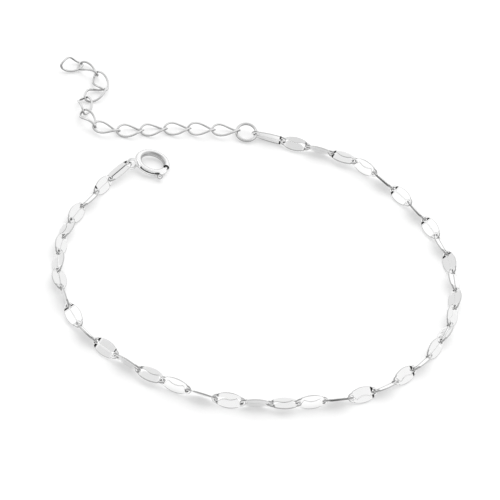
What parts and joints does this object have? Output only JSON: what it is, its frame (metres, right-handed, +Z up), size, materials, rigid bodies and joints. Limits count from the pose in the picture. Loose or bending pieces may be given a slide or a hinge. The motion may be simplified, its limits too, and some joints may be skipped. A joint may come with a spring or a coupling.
{
  "type": "chain bracelet with spring ring clasp and extension chain",
  "caption": "Fine silver chain bracelet of twisted mirror-plate links, closed by a spring ring clasp on a jump ring, with a curb-link extension chain.",
  "frame": {"origin": "middle of the underside of the bounding box, on the plane that the bracelet lies on", "axes": "+Z up from that plane, +Y towards the clasp and jump ring side, away from the viewer, +X to the viewer's right"},
  "size_m": [0.063, 0.0662, 0.0021],
  "materials": {
    "mirror_silver": "bright polished silver plates with soft dark shoulders",
    "wire_silver": "polished silver wire and tube"
  },
  "bodies": {
    "bracelet": {"connector_link_jump": "mirror_silver", "mirror_link_01": "mirror_silver", "mirror_link_02": "mirror_silver", "mirror_link_03": "mirror_silver", "mirror_link_04": "mirror_silver", "mirror_link_05": "mirror_silver", "mirror_link_06": "mirror_silver", "mirror_link_07": "mirror_silver", "mirror_link_08": "mirror_silver", "mirror_link_09": "mirror_silver", "mirror_link_10": "mirror_silver", "mirror_link_11": "mirror_silver", "mirror_link_12": "mirror_silver", "mirror_link_13": "mirror_silver", "mirror_link_14": "mirror_silver", "mirror_link_15": "mirror_silver", "mirror_link_16": "mirror_silver", "mirror_link_17": "mirror_silver", "mirror_link_18": "mirror_silver", "mirror_link_19": "mirror_silver", "mirror_link_20": "mirror_silver", "mirror_link_21": "mirror_silver", "mirror_link_22": "mirror_silver", "mirror_link_23": "mirror_silver", "mirror_link_24": "mirror_silver", "mirror_link_25": "mirror_silver", "mirror_link_26": "mirror_silver", "mirror_link_27": "mirror_silver", "mirror_link_28": "mirror_silver", "mirror_link_29": "mirror_silver", "mirror_link_30": "mirror_silver", "mirror_link_31": "mirror_silver", "mirror_link_32": "mirror_silver", "mirror_link_33": "mirror_silver", "mirror_link_34": "mirror_silver", "mirror_link_35": "mirror_silver", "mirror_link_36": "mirror_silver", "mirror_link_37": "mirror_silver", "mirror_link_38": "mirror_silver", "mirror_link_39": "mirror_silver", "connector_link_clasp": "mirror_silver", "jump_ring": "wire_silver", "extension_links_1_to_3": "wire_silver", "extension_links_4_to_6": "wire_silver", "extension_links_7_to_9": "wire_silver", "extension_links_10_to_12": "wire_silver", "clasp_case": "wire_silver"},
    "bolt": {"clasp_bolt": "wire_silver"}
  },
  "joints": [
    {"name": "bolt_turn", "type": "hinge", "parent": "bracelet", "child": "bolt", "pos_m": [-0.0148, 0.01283, 0.00077], "axis": [-0.1392, 0, -0.9903], "range_deg": [0, 50], "stiffness_Nm_per_rad": 0.0006, "springref_deg": -17.19}
  ]
}
